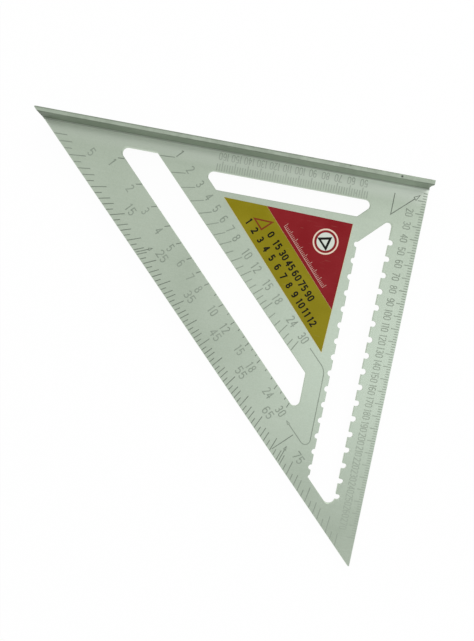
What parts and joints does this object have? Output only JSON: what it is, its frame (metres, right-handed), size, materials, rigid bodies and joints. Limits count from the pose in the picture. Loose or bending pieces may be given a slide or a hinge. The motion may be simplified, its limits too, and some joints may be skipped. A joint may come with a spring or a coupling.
{
  "type": "speed square",
  "caption": "Flat triangular layout square of aluminium with a T-shaped fence, slots, pencil notches and stamped scales, for marking and guiding straight and angled cuts.",
  "frame": {"origin": "pivot corner, where the fence's working face meets the rule edge, in the middle of the blade's thickness", "axes": "+X along the fence to the 45 degree tip, +Y along the rule edge to the free tip, +Z out of the printed face"},
  "size_m": [0.3072, 0.3072, 0.0254],
  "materials": {
    "aluminium": "matt, lightly worn",
    "mark_paint": "matt paint in stamped grooves",
    "film": "satin printed film",
    "gold_ink": "satin ink",
    "red_ink": "satin ink",
    "black_ink": "satin ink",
    "rust_ink": "satin ink",
    "white_ink": "satin ink"
  },
  "bodies": {
    "root": {"square_body": "aluminium", "degree_marks_paint": "mark_paint", "degree_numerals_paint": "mark_paint", "common_marks_paint": "mark_paint", "common_numerals_paint": "mark_paint", "hip_marks_paint": "mark_paint", "hip_numerals_paint": "mark_paint", "rule_edge_marks_paint": "mark_paint", "rule_edge_numerals_paint": "mark_paint", "fence_slot_marks_paint": "mark_paint", "fence_slot_numerals_paint": "mark_paint", "pivot_pointer_paint": "mark_paint", "scale_loop_paint": "mark_paint", "square_line_paint": "mark_paint", "label_film": "film", "label_gold_ink": "gold_ink", "label_red_ink": "red_ink", "label_numerals": "black_ink", "label_triangle": "rust_ink", "label_fine_scale": "white_ink", "label_sign_ring": "white_ink", "label_sign_field": "white_ink", "label_sign_square": "black_ink"}
  },
  "joints": []
}
